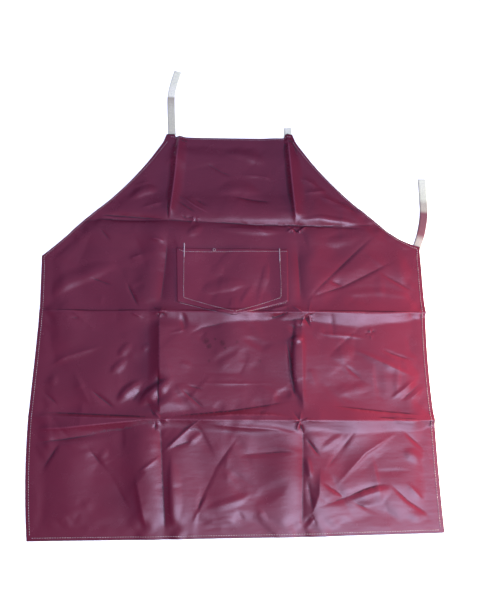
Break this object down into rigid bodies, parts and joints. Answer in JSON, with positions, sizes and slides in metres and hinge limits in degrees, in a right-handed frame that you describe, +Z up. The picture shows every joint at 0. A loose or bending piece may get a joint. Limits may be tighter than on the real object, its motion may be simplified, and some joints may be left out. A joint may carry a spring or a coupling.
{
  "type": "cleaning apron",
  "caption": "Bib apron of maroon coated cloth with a turned hem, a pointed patch pocket and sewn neck and waist tapes, lying unfolded with its old fold ridges",
  "frame": {"origin": "middle of the footprint of the lying apron with its tapes, on the surface that it lies on", "axes": "+Z up out of the apron's front, +Y from the skirt's hem to the bib, +X to the right seen from above"},
  "size_m": [0.8052, 0.963, 0.014],
  "materials": {
    "coated_cloth": "maroon vinyl-coated cloth with a fine grain and a soft sheen",
    "pocket_cloth": "the same maroon coated cloth, stitched round its edge",
    "neck_tape": "pale grey woven tape, matt",
    "waist_tape": "woven tape, rose near the cloth and paler towards its end, matt"
  },
  "bodies": {
    "root": {"front_panel": "coated_cloth", "pocket": "pocket_cloth", "neck_tape_left": "neck_tape", "neck_tape_right": "neck_tape", "waist_tie_left": "waist_tape", "waist_tie_right": "waist_tape"}
  },
  "joints": []
}
